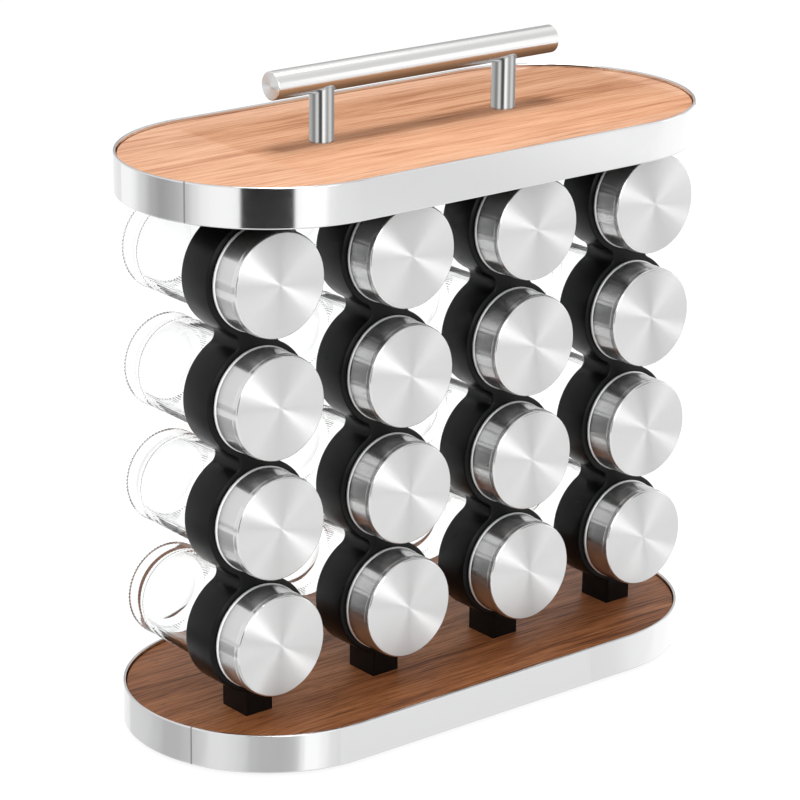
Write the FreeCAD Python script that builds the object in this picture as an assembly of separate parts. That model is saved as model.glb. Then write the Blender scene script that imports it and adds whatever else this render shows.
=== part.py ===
import FreeCAD, Part
import math
import os

# A countertop spice carousel: an oblong rack of sixteen jars between two banded boards, with a T-bar
# handle on top and a ball-bearing swivel let into the underside of its base.
# Frame: the origin is on the table under the middle of the base, X runs along the rack, the caps face -Y
# and Z is up. Millimetres and degrees throughout.

# ---------------------------------------------------------------- layout
column_count = 4
row_count = 4
column_gap = 17.4  # free space between the rings of neighbouring columns
row_gap = 1.3  # free height between the rings of neighbouring rows
end_margin = 12.9  # board beyond the outermost rings, at each end
rack_depth = 127.0

# ---------------------------------------------------------------- jars
jar_radius = 20.8
jar_length = 82.2
jar_wall = 2.2
jar_floor = 4.6
jar_heel_radius = 4.0
jar_inner_heel_radius = 2.6
jar_foot_ring_width = 4.5
jar_push_up = 1.4
neck_inset = 1.5  # how far the neck stands in from the body
neck_wall = 2.3

# ---------------------------------------------------------------- caps
cap_length = 15.0
cap_shell = 0.6
cap_corner_radius = 1.4
cap_bead_height = 0.4  # how far the rolled edge stands out from the side
cap_bead_width = 1.0
cap_liner_wall = 2.3
cap_liner_disc = 1.4
cap_liner_short = 2.4  # the liner stops this far inside the rolled edge
liner_press_gap = 0.05
thread_clearance = 0.35
mouth_clearance = 0.3
shoulder_clearance = 0.5

# ---------------------------------------------------------------- columns
ring_wall = 4.3
ring_width = 18.0
ring_clearance = 0.35  # around the jar
cap_seat_gap = 0.35  # between the rolled edge and the ring's front face
web_fillet_radius = 4.0
leg_width = 13.5
foot_height = 10.3
top_leg_height = 2.7

# ---------------------------------------------------------------- boards and bands
band_height = 17.2
band_wall = 1.2
band_lip = 1.5  # how far the band stands above its panel
board_inset = 1.0  # how far the board's underside lies inside the band
panel_thickness = 3.0
board_fit = 0.1

# ---------------------------------------------------------------- swivel
ground_gap = 2.0  # under the base band, so that the rack turns clear of the table
pad_height = 2.4
pad_radius = 7.0
pad_circle = 35.0
pad_count = 4
plate_radius = 46.0
plate_thickness = 1.2
recess_clearance = 1.5
ball_radius = 2.0
ball_clearance = 0.15
ball_circle = 39.0
ball_count = 16
groove_depth = 0.35
cage_thickness = 1.6
cage_width = 8.0
cage_pocket_clearance = 0.1
rivet_radius = 3.0
rivet_bore_radius = 1.6
rivet_flange_radius = 5.5
rivet_flange_thickness = 0.8
rivet_clearance = 0.05
rivet_end_float = 0.1
rivet_pocket_clearance = 1.0
swivel_screw_circle = 26.0
swivel_screw_count = 4
swivel_screw_radius = 1.6
swivel_screw_length = 4.4
swivel_screw_head_radius = 3.0
swivel_screw_head_height = 1.2
access_hole_radius = 4.5

# ---------------------------------------------------------------- column screws
column_screw_radius = 1.75
column_screw_head_radius = 3.6
column_screw_head_height = 2.0
foot_bite = 6.5  # how far a screw goes into a foot
top_bite = 4.3
screw_clearance = 0.05
head_clearance = 0.6

# ---------------------------------------------------------------- handle
bar_radius = 6.1
bar_length = 152.0
bar_chamfer = 0.8
bar_rise = 27.1  # from the top panel to the bar's axis
post_radius = 5.25
post_spacing = 99.0
post_cope_gap = 0.05
handle_screw_radius = 2.0
handle_screw_head_radius = 4.0
handle_screw_head_height = 2.6
handle_screw_sink = 0.6  # how deep the head lies inside the board
handle_screw_bite = 9.0
screw_tip_room = 1.0
drive_radius = 1.5
drive_depth = 1.0
drive_sides = 6

FULL_TURN = 360.0

# ---------------------------------------------------------------- derived: jar and cap
neck_radius = jar_radius - neck_inset
mouth_radius = neck_radius - neck_wall
jar_inner_radius = jar_radius - jar_wall
cap_bore_radius = neck_radius + thread_clearance
liner_radius = cap_bore_radius + cap_liner_wall
cap_side_radius = liner_radius + liner_press_gap + cap_shell
cap_bead_radius = cap_side_radius + cap_bead_height
jar_set_length = cap_shell + liner_press_gap + cap_liner_disc + mouth_clearance + jar_length

face_y = -jar_set_length / 2
liner_face_y = face_y + cap_shell + liner_press_gap
liner_disc_y = liner_face_y + cap_liner_disc
mouth_y = liner_disc_y + mouth_clearance
rim_y = face_y + cap_length
liner_end_y = rim_y - cap_liner_short
shoulder_y = liner_end_y + shoulder_clearance
jar_bottom_y = mouth_y + jar_length

# ---------------------------------------------------------------- derived: columns
ring_bore_radius = jar_radius + ring_clearance
ring_radius = ring_bore_radius + ring_wall
column_pitch = 2 * ring_radius + column_gap
row_pitch = 2 * ring_radius + row_gap
ring_front_y = rim_y + cap_seat_gap
ring_back_y = ring_front_y + ring_width
ring_middle_y = (ring_front_y + ring_back_y) / 2
column_xs = [(i - (column_count - 1) / 2) * column_pitch for i in range(column_count)]

# ---------------------------------------------------------------- derived: heights
base_band_z = ground_gap
base_board_z = base_band_z + board_inset
base_panel_top_z = base_band_z + band_height - band_lip
base_board_top_z = base_panel_top_z - panel_thickness
first_row_z = base_panel_top_z + foot_height + ring_radius
row_zs = [first_row_z + i * row_pitch for i in range(row_count)]
top_board_z = row_zs[-1] + ring_radius + top_leg_height
top_band_z = top_board_z - board_inset
top_panel_top_z = top_band_z + band_height - band_lip
top_board_top_z = top_panel_top_z - panel_thickness
bar_z = top_panel_top_z + bar_rise

# ---------------------------------------------------------------- derived: plan of the boards
half_length = (column_count - 1) / 2 * column_pitch + ring_radius + end_margin
band_radius = rack_depth / 2
half_straight = half_length - band_radius
board_radius = band_radius - band_wall - board_fit

# ---------------------------------------------------------------- derived: swivel
lower_plate_z = pad_height
plate_gap = 2 * (ball_radius + ball_clearance - groove_depth)
upper_plate_z = lower_plate_z + plate_thickness + plate_gap
recess_roof_z = upper_plate_z + plate_thickness
ball_z = lower_plate_z + plate_thickness + plate_gap / 2
recess_radius = plate_radius + recess_clearance


def point(x, y, z):
    return FreeCAD.Vector(x, y, z)


def cylinder_z(radius, low, high, x=0.0, y=0.0):
    return Part.makeCylinder(radius, high - low, point(x, y, low))


def cylinder_y(radius, front, back, x, z):
    return Part.makeCylinder(radius, back - front, point(x, front, z), point(0, 1, 0))


def fused(shapes):
    whole = shapes[0].multiFuse(shapes[1:]) if len(shapes) > 1 else shapes[0]
    return whole.removeSplitter()


def around(count, circle, start=0.0):
    """Places evenly spaced on a circle about the swivel's axis."""
    angles = [math.radians(start + FULL_TURN * i / count) for i in range(count)]
    return [(circle * math.cos(angle), circle * math.sin(angle)) for angle in angles]


def stadium(radius, low, high):
    """An upright oblong block with half-round ends."""
    block = Part.makeBox(2 * half_straight, 2 * radius, high - low, point(-half_straight, -radius, low))
    ends = [cylinder_z(radius, low, high, side * half_straight) for side in (-1, 1)]
    return fused([block] + ends)


def line(start, end):
    return Part.LineSegment(start, end).toShape()


def rounded_outline(corners):
    """Closed edges through corners given as (vector, corner radius); a radius of 0 leaves it sharp."""
    pairs = []
    edges = []
    for i, (corner, radius) in enumerate(corners):
        if not radius:
            pairs.append((corner, corner))
            continue
        back = (corners[i - 1][0] - corner).normalize()
        ahead = (corners[(i + 1) % len(corners)][0] - corner).normalize()
        half_angle = back.getAngle(ahead) / 2
        bisector = (back + ahead).normalize()
        reach = radius / math.tan(half_angle)
        centre = corner + bisector * (radius / math.sin(half_angle))
        start = corner + back * reach
        end = corner + ahead * reach
        edges.append(Part.Arc(start, centre - bisector * radius, end).toShape())
        pairs.append((start, end))
    for i, (start, _) in enumerate(pairs):
        edges.append(line(pairs[i - 1][1], start))
    return edges


def face_of(edges):
    return Part.Face(Part.Wire(Part.sortEdges(edges)[0]))


def turned(section, x, z):
    """A solid of revolution about a line along Y; the section is a list of (radius, y, corner radius)."""
    corners = [(point(radius, y, 0), corner_radius) for radius, y, corner_radius in section]
    solid = face_of(rounded_outline(corners)).revolve(point(0, 0, 0), point(0, 1, 0), FULL_TURN)
    solid.translate(point(x, 0, z))
    return solid


def drive_recess(x, y, head_z, depth):
    """The hexagon socket that a screw is driven by, opening downwards for a positive depth."""
    corners = around(drive_sides, drive_radius)
    spots = [point(x + dx, y + dy, head_z) for dx, dy in corners]
    return Part.Face(Part.makePolygon(spots + spots[:1])).extrude(point(0, 0, depth))


def countersunk_screw(x, y, head_z, length, way):
    """A flat-head screw whose head lies at head_z and whose shank goes up for way 1, down for -1."""
    up = point(0, 0, way)
    head = Part.makeCone(
        column_screw_head_radius, column_screw_radius, column_screw_head_height, point(x, y, head_z), up
    )
    shank = Part.makeCylinder(column_screw_radius, length, point(x, y, head_z), up)
    return fused([head, shank]).cut(drive_recess(x, y, head_z, way * drive_depth))


def countersunk_hole(x, y, head_z, length, way):
    """The hole for such a screw, open below its tip by screw_tip_room."""
    up = point(0, 0, way)
    wide = column_screw_head_radius + screw_clearance
    narrow = column_screw_radius + screw_clearance
    seat = Part.makeCone(wide, narrow, column_screw_head_height, point(x, y, head_z), up)
    shank = Part.makeCylinder(narrow, length + screw_tip_room, point(x, y, head_z), up)
    return fused([seat, shank])


def pan_screw(x, y, head_z, radius, length, head_radius, head_height):
    """A screw that goes up from a cylinder head whose seat is at head_z."""
    head = cylinder_z(head_radius, head_z - head_height, head_z, x, y)
    shank = cylinder_z(radius, head_z, head_z + length, x, y)
    return fused([head, shank]).cut(drive_recess(x, y, head_z - head_height, drive_depth))


# ---------------------------------------------------------------- derived: where the screws go
base_screw_length = base_panel_top_z - recess_roof_z + foot_bite
top_screw_length = top_board_top_z - top_board_z + top_bite
handle_seat_z = top_board_z + handle_screw_sink + handle_screw_head_height
handle_screw_length = top_panel_top_z - handle_seat_z + handle_screw_bite
post_xs = [side * post_spacing / 2 for side in (-1, 1)]
swivel_screw_spots = around(swivel_screw_count, swivel_screw_circle, FULL_TURN / swivel_screw_count / 2)


# ---------------------------------------------------------------- swivel pieces
def ball_groove():
    return Part.makeTorus(ball_circle, ball_radius + ball_clearance, point(0, 0, ball_z))


def lower_plate():
    plate = cylinder_z(plate_radius, lower_plate_z, lower_plate_z + plate_thickness)
    access = [
        cylinder_z(access_hole_radius, lower_plate_z, lower_plate_z + plate_thickness, x, y)
        for x, y in swivel_screw_spots
    ]
    centre = cylinder_z(rivet_radius + screw_clearance, lower_plate_z, lower_plate_z + plate_thickness)
    return plate.cut(fused([centre, ball_groove()] + access))


def upper_plate():
    plate = cylinder_z(plate_radius, upper_plate_z, recess_roof_z)
    holes = [
        cylinder_z(swivel_screw_radius + screw_clearance, upper_plate_z, recess_roof_z, x, y)
        for x, y in swivel_screw_spots
    ]
    centre = cylinder_z(rivet_radius + rivet_clearance, upper_plate_z, recess_roof_z)
    return plate.cut(fused([centre, ball_groove()] + holes))


def rubber_pads():
    spots = around(pad_count, pad_circle)
    return Part.Compound([cylinder_z(pad_radius, 0, pad_height, x, y) for x, y in spots])


def bearing_balls():
    spots = around(ball_count, ball_circle)
    return Part.Compound([Part.makeSphere(ball_radius, point(x, y, ball_z)) for x, y in spots])


def ball_cage():
    low = ball_z - cage_thickness / 2
    high = ball_z + cage_thickness / 2
    ring = cylinder_z(ball_circle + cage_width / 2, low, high)
    middle = cylinder_z(ball_circle - cage_width / 2, low, high)
    pocket_radius = ball_radius + cage_pocket_clearance
    pockets = [cylinder_z(pocket_radius, low, high, x, y) for x, y in around(ball_count, ball_circle)]
    return ring.cut(fused([middle] + pockets))


def pivot_rivet():
    """A tubular rivet: headed under the lower plate and flared over the upper one, which turns on it."""
    low = lower_plate_z - rivet_flange_thickness
    flange_z = recess_roof_z + rivet_end_float
    high = flange_z + rivet_flange_thickness
    shank = cylinder_z(rivet_radius, low, high)
    head = cylinder_z(rivet_flange_radius, low, lower_plate_z)
    flange = cylinder_z(rivet_flange_radius, flange_z, high)
    return fused([shank, head, flange]).cut(cylinder_z(rivet_bore_radius, low, high))


def swivel_screws():
    return Part.Compound([
        pan_screw(
            x, y, upper_plate_z, swivel_screw_radius, swivel_screw_length,
            swivel_screw_head_radius, swivel_screw_head_height,
        )
        for x, y in swivel_screw_spots
    ])


# ---------------------------------------------------------------- base
def base_board():
    board = stadium(board_radius, base_board_z, base_board_top_z)
    recess = cylinder_z(recess_radius, base_board_z, recess_roof_z)
    flange_top = recess_roof_z + rivet_end_float + rivet_flange_thickness + rivet_end_float
    rivet_pocket = cylinder_z(rivet_flange_radius + rivet_pocket_clearance, recess_roof_z, flange_top)
    counterbores = [
        cylinder_z(column_screw_head_radius + head_clearance, base_board_z, recess_roof_z, x, ring_middle_y)
        for x in column_xs
    ]
    holes = [countersunk_hole(x, ring_middle_y, recess_roof_z, base_screw_length, 1) for x in column_xs]
    swivel_holes = [
        cylinder_z(
            swivel_screw_radius + screw_clearance, recess_roof_z,
            upper_plate_z + swivel_screw_length + screw_clearance, x, y,
        )
        for x, y in swivel_screw_spots
    ]
    return board.cut(fused([recess, rivet_pocket] + counterbores + holes + swivel_holes))


def base_panel():
    panel = stadium(board_radius, base_board_top_z, base_panel_top_z)
    radius = column_screw_radius + screw_clearance
    holes = [cylinder_z(radius, base_board_top_z, base_panel_top_z, x, ring_middle_y) for x in column_xs]
    return panel.cut(fused(holes))


def band(low):
    outside = stadium(band_radius, low, low + band_height)
    inside = stadium(band_radius - band_wall, low, low + band_height)
    return outside.cut(inside)


def base_screws():
    return Part.Compound([
        countersunk_screw(x, ring_middle_y, recess_roof_z, base_screw_length, 1) for x in column_xs
    ])


# ---------------------------------------------------------------- columns
def column_side(x, side):
    """One side of a column: the rings' arcs, the hollow waists between them and the legs' edges."""
    def spot(offset, z):
        return point(x + side * offset, ring_front_y, z)

    half_pitch = row_pitch / 2
    half_leg = leg_width / 2
    leg_drop = math.sqrt(ring_radius ** 2 - half_leg ** 2)
    reach = ring_radius + web_fillet_radius
    fillet_x = math.sqrt(reach ** 2 - half_pitch ** 2)
    tangent_x = fillet_x * ring_radius / reach
    tangent_drop = half_pitch * ring_radius / reach
    ends = [spot(half_leg, row_zs[0] - leg_drop)]
    for z in row_zs[:-1]:
        ends += [spot(tangent_x, z + tangent_drop), spot(tangent_x, z + row_pitch - tangent_drop)]
    ends.append(spot(half_leg, row_zs[-1] + leg_drop))
    rings = [
        Part.Arc(ends[2 * i], spot(ring_radius, z), ends[2 * i + 1]).toShape() for i, z in enumerate(row_zs)
    ]
    waist_x = fillet_x - web_fillet_radius
    waists = [
        Part.Arc(ends[2 * i + 1], spot(waist_x, z + half_pitch), ends[2 * i + 2]).toShape()
        for i, z in enumerate(row_zs[:-1])
    ]
    legs = [line(spot(half_leg, base_panel_top_z), ends[0]), line(ends[-1], spot(half_leg, top_board_z))]
    return rings + waists + legs


def column_outline(x):
    """The rings run into each other through waists with hollow sides, and the legs reach both boards."""
    leg_ends = [
        line(point(x - leg_width / 2, ring_front_y, z), point(x + leg_width / 2, ring_front_y, z))
        for z in (base_panel_top_z, top_board_z)
    ]
    return column_side(x, -1) + column_side(x, 1) + leg_ends


def column(x):
    block = face_of(column_outline(x)).extrude(point(0, ring_width, 0))
    bores = [cylinder_y(ring_bore_radius, ring_front_y, ring_back_y, x, z) for z in row_zs]
    base_hole = countersunk_hole(x, ring_middle_y, recess_roof_z, base_screw_length, 1)
    top_hole = countersunk_hole(x, ring_middle_y, top_board_top_z, top_screw_length, -1)
    return block.cut(fused(bores + [base_hole, top_hole]))


# ---------------------------------------------------------------- top
def top_board():
    board = stadium(board_radius, top_board_z, top_board_top_z)
    holes = [
        countersunk_hole(x, ring_middle_y, top_board_top_z, top_screw_length, -1) for x in column_xs
    ]
    for x in post_xs:
        head = handle_screw_head_radius + head_clearance
        holes.append(cylinder_z(head, top_board_z, handle_seat_z, x))
        holes.append(cylinder_z(handle_screw_radius + screw_clearance, handle_seat_z, top_board_top_z, x))
    return board.cut(fused(holes))


def top_panel():
    panel = stadium(board_radius, top_board_top_z, top_panel_top_z)
    radius = handle_screw_radius + screw_clearance
    return panel.cut(fused([cylinder_z(radius, top_board_top_z, top_panel_top_z, x) for x in post_xs]))


def top_screws():
    return Part.Compound([
        countersunk_screw(x, ring_middle_y, top_board_top_z, top_screw_length, -1) for x in column_xs
    ])


# ---------------------------------------------------------------- handle
def handle_bar():
    bar = Part.makeCylinder(bar_radius, bar_length, point(-bar_length / 2, 0, bar_z), point(1, 0, 0))
    rims = [edge for edge in bar.Edges if len(edge.Vertexes) == 1]
    return bar.makeChamfer(bar_chamfer, rims)


def handle_post(x):
    """A round post whose top is coped to the bar and whose foot is tapped for its screw."""
    post = cylinder_z(post_radius, top_panel_top_z, bar_z, x)
    cope = Part.makeCylinder(
        bar_radius + post_cope_gap, bar_length, point(-bar_length / 2, 0, bar_z), point(1, 0, 0)
    )
    tapped_top = top_panel_top_z + handle_screw_bite + screw_tip_room
    tapped = cylinder_z(handle_screw_radius + screw_clearance, top_panel_top_z, tapped_top, x)
    return post.cut(fused([cope, tapped]))


def handle_screws():
    return Part.Compound([
        pan_screw(
            x, 0, handle_seat_z, handle_screw_radius, handle_screw_length,
            handle_screw_head_radius, handle_screw_head_height,
        )
        for x in post_xs
    ])


# ---------------------------------------------------------------- jars and caps
def jar(x, z):
    """A round glass jar lying on its side, mouth to the front, with a heavy pushed-up foot."""
    body_front_y = shoulder_y + neck_inset
    inner_front_y = body_front_y + neck_wall
    floor_y = jar_bottom_y - jar_floor
    return turned([
        (mouth_radius, mouth_y, 0),
        (neck_radius, mouth_y, 0),
        (neck_radius, shoulder_y, 0),
        (jar_radius, body_front_y, 0),
        (jar_radius, jar_bottom_y, jar_heel_radius),
        (jar_radius - jar_foot_ring_width, jar_bottom_y, 0),
        (0, jar_bottom_y - jar_push_up, 0),
        (0, floor_y, 0),
        (jar_inner_radius, floor_y, jar_inner_heel_radius),
        (jar_inner_radius, inner_front_y, 0),
        (mouth_radius, inner_front_y - (jar_inner_radius - mouth_radius), 0),
    ], x, z)


def cap(x, z):
    """A drawn steel shell with a rolled edge, pressed over the plastic liner that grips the jar's neck."""
    inside_radius = liner_radius + liner_press_gap
    bead_y = rim_y - cap_bead_width
    shell = turned([
        (0, face_y, 0),
        (cap_side_radius, face_y, cap_corner_radius),
        (cap_side_radius, bead_y, 0),
        (cap_bead_radius, bead_y, 0),
        (cap_bead_radius, rim_y, 0),
        (inside_radius, rim_y, 0),
        (inside_radius, face_y + cap_shell, cap_corner_radius - cap_shell),
        (0, face_y + cap_shell, 0),
    ], x, z)
    liner = turned([
        (0, liner_face_y, 0),
        (liner_radius, liner_face_y, cap_corner_radius - cap_shell),
        (liner_radius, liner_end_y, 0),
        (cap_bore_radius, liner_end_y, 0),
        (cap_bore_radius, liner_disc_y, 0),
        (0, liner_disc_y, 0),
    ], x, z)
    return Part.Compound([shell, liner])


# ---------------------------------------------------------------- assembly
os.makedirs("parts", exist_ok=True)

pieces = {
    "swivel_lower_plate": lower_plate(),
    "rubber_pads": rubber_pads(),
    "pivot_rivet": pivot_rivet(),
    "bearing_balls": bearing_balls(),
    "ball_cage": ball_cage(),
    "swivel_upper_plate": upper_plate(),
    "swivel_screws": swivel_screws(),
    "base_board": base_board(),
    "base_panel": base_panel(),
    "base_band": band(base_band_z),
    "base_screws": base_screws(),
    "top_board": top_board(),
    "top_panel": top_panel(),
    "top_band": band(top_band_z),
    "top_screws": top_screws(),
    "handle_bar": handle_bar(),
    "handle_post_left": handle_post(post_xs[0]),
    "handle_post_right": handle_post(post_xs[1]),
    "handle_screws": handle_screws(),
}

for c, column_x in enumerate(column_xs, start=1):
    pieces[f"column_{c}"] = column(column_x)
    for r, row_z in enumerate(row_zs, start=1):
        pieces[f"jar_{c}_{r}"] = jar(column_x, row_z)
        pieces[f"cap_{c}_{r}"] = cap(column_x, row_z)

for name, shape in pieces.items():
    shape.exportStep(f"parts/{name}.step")
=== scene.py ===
import math

import bmesh
import bpy
from mathutils import Matrix, Vector


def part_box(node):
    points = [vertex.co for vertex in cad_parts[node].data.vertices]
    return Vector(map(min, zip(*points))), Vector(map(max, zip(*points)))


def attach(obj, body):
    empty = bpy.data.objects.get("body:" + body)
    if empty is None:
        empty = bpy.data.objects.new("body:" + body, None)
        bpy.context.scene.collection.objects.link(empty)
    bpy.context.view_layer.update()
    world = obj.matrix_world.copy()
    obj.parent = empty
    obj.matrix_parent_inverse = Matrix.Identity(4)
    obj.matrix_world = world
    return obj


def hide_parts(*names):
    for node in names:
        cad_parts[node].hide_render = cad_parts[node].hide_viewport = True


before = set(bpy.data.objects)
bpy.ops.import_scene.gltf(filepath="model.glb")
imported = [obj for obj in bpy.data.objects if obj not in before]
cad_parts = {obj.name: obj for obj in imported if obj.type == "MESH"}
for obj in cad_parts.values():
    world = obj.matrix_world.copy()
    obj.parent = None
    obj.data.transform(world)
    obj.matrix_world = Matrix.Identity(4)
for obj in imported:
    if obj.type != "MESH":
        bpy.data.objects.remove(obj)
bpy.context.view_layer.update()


# ---- Swivel ----
# A small ball-bearing turntable let into the base: two zinc-plated pressed plates, a caged ring of steel
# balls between them, a flared tubular rivet through both and four rubber pads under the lower plate.
# The pieces are stock hardware, so the frame's own shapes stay and take a plated, moulded or rubber finish.

def node(tree, kind, inputs=(), **settings):
    """Adds a shader node: inputs takes values or sockets by name or number."""
    made = tree.nodes.new(kind)
    for name, value in settings.items():
        setattr(made, name, value)
    for key, value in dict(inputs).items():
        if isinstance(value, bpy.types.NodeSocket):
            tree.links.new(value, made.inputs[key])
        else:
            made.inputs[key].default_value = value
    return made


def shade(name, colour, **values):
    """A material with one Principled shader; values are its plain numbers, such as Metallic."""
    made = bpy.data.materials.new(name)
    made.use_nodes = True
    made.diffuse_color = (*colour, 1)
    shader = made.node_tree.nodes["Principled BSDF"]
    shader.inputs["Base Color"].default_value = (*colour, 1)
    for key, value in values.items():
        shader.inputs[key.replace("_", " ")].default_value = value
    return made, made.node_tree, shader


def group(name, takes, gives):
    """An empty shader node group; takes and gives map socket names to a kind and a first value."""
    tree = bpy.data.node_groups.new(name, "ShaderNodeTree")
    for key, (kind, value) in takes.items():
        socket = tree.interface.new_socket(key, in_out="INPUT", socket_type="NodeSocket" + kind)
        if value is not None:
            socket.default_value = value
    for key, kind in gives.items():
        tree.interface.new_socket(key, in_out="OUTPUT", socket_type="NodeSocket" + kind)
    return tree, tree.nodes.new("NodeGroupInput").outputs, tree.nodes.new("NodeGroupOutput").inputs


def use(tree, made, inputs=()):
    """Places a node group in a material."""
    placed = node(tree, "ShaderNodeGroup", node_tree=made)
    for key, value in dict(inputs).items():
        if isinstance(value, bpy.types.NodeSocket):
            tree.links.new(value, placed.inputs[key])
        else:
            placed.inputs[key].default_value = value
    return placed.outputs


def build_handling():
    """Handling marks: broad smears and fine specks that make a finish a little rougher here and there."""
    tree, given, out = group(
        "handling", {"Roughness": ("Float", 0.3), "Amount": ("Float", 0.1), "Size": ("Float", 60.0)},
        {"Roughness": "Float", "Height": "Float"},
    )
    place = node(tree, "ShaderNodeTexCoord").outputs["Object"]
    size = given["Size"]
    smears = node(tree, "ShaderNodeTexNoise", {"Vector": place, "Scale": size, "Detail": 5.0}).outputs[0]
    finer = node(tree, "ShaderNodeMath", {0: size, 1: 14.0}, operation="MULTIPLY").outputs[0]
    specks = node(tree, "ShaderNodeTexNoise", {"Vector": place, "Scale": finer, "Detail": 2.0}).outputs[0]
    both = node(tree, "ShaderNodeMath", {0: smears, 1: specks}, operation="ADD").outputs[0]
    centred = node(tree, "ShaderNodeMath", {0: both, 1: 1.0}, operation="SUBTRACT").outputs[0]
    rough = node(tree, "ShaderNodeMath", {0: centred, 1: given["Amount"], 2: given["Roughness"]},
                 operation="MULTIPLY_ADD", use_clamp=True).outputs[0]
    tree.links.new(rough, out["Roughness"])
    tree.links.new(specks, out["Height"])
    return tree


handling = build_handling()


def bump(tree, shader, height, distance):
    """Relief too fine to model; distance is its depth."""
    raised = node(tree, "ShaderNodeBump", {"Height": height, "Distance": distance, "Strength": 1.0})
    tree.links.new(raised.outputs[0], shader.inputs["Normal"])


def plated(name, colour, roughness, spangle):
    """Zinc plate: a soft spangle of slightly different greys over fine rolling marks."""
    made, tree, shader = shade(name, colour, Metallic=1.0)
    place = node(tree, "ShaderNodeTexCoord").outputs["Object"]
    flakes = node(tree, "ShaderNodeTexVoronoi", {"Vector": place, "Scale": spangle}).outputs["Color"]
    tone = node(tree, "ShaderNodeSeparateColor", {0: flakes}).outputs[0]
    shades = node(tree, "ShaderNodeMapRange", {0: tone, 3: 0.86, 4: 1.04}).outputs[0]
    tinted = node(tree, "ShaderNodeVectorMath", {0: colour, 3: shades}, operation="SCALE").outputs[0]
    marks = use(tree, handling, {"Roughness": roughness, "Amount": 0.25, "Size": 90.0})
    tree.links.new(tinted, shader.inputs["Base Color"])
    tree.links.new(marks["Roughness"], shader.inputs["Roughness"])
    bump(tree, shader, marks["Height"], 0.00002)
    return made


def moulded(name, colour, roughness, grain, shine=0.5):
    """Plain moulded plastic or rubber with the fine texture of its tool."""
    made, tree, shader = shade(name, colour, Specular_IOR_Level=shine)
    marks = use(tree, handling, {"Roughness": roughness, "Amount": 0.2, "Size": grain})
    tree.links.new(marks["Roughness"], shader.inputs["Roughness"])
    bump(tree, shader, marks["Height"], 0.00004)
    return made


def finish_node(name, made):
    """Gives one of the frame's own pieces its finish."""
    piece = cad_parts[name]
    piece.data.materials.clear()
    piece.data.materials.append(made)


zinc = plated("zinc plate", (0.62, 0.63, 0.65), 0.38, 700.0)
screw_zinc = plated("screw plating", (0.55, 0.56, 0.57), 0.3, 1500.0)
ball_steel = plated("ball steel", (0.75, 0.75, 0.77), 0.1, 2500.0)
for plate in ("swivel_lower_plate", "swivel_upper_plate", "pivot_rivet"):
    finish_node(plate, zinc)
for screws in ("swivel_screws", "base_screws", "top_screws", "handle_screws"):
    finish_node(screws, screw_zinc)
finish_node("bearing_balls", ball_steel)
finish_node("ball_cage", moulded("natural nylon", (0.72, 0.70, 0.62), 0.45, 120.0))
finish_node("rubber_pads", moulded("pad rubber", (0.025, 0.025, 0.026), 0.75, 200.0))


# ---- Boards ----
# Inside each band lies a pressed board, faced in black, that carries the wood face and takes the screws.
# Only its underside can be seen, so it keeps the frame's shape with a fibrous black facing.

def pressed_board(name, colour):
    """A black facing that shows the fibres of the board under it, with paler dust in broad patches."""
    made, tree, shader = shade(name, colour, Roughness=0.7)
    place = node(tree, "ShaderNodeTexCoord").outputs["Object"]
    fibres = node(tree, "ShaderNodeTexNoise", {"Vector": place, "Scale": 900.0, "Detail": 8.0}).outputs[0]
    clouds = node(tree, "ShaderNodeTexNoise", {"Vector": place, "Scale": 45.0, "Detail": 4.0}).outputs[0]
    both = node(tree, "ShaderNodeMath", {0: fibres, 1: clouds}, operation="ADD").outputs[0]
    shades = node(tree, "ShaderNodeMapRange", {0: both, 1: 0.7, 2: 1.3, 3: 0.6, 4: 1.5}).outputs[0]
    tinted = node(tree, "ShaderNodeVectorMath", {0: colour, 3: shades}, operation="SCALE").outputs[0]
    tree.links.new(tinted, shader.inputs["Base Color"])
    bump(tree, shader, fibres, 0.00008)
    return made


board_black = pressed_board("black-faced board", (0.012, 0.011, 0.010))
for board in ("base_board", "top_board"):
    finish_node(board, board_black)


# ---- Wood faces ----
# Each board is faced with a thin panel of printed laminate whose grain runs along the rack: dark walnut on
# the base and pale oak on top. Its rim is sawn and eased, and it lies a little below the band's edge.

panel_ease = 0.0003
panel_gap = 0.0003  # the panel is sawn this much small all round
panel_steps = 64


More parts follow.
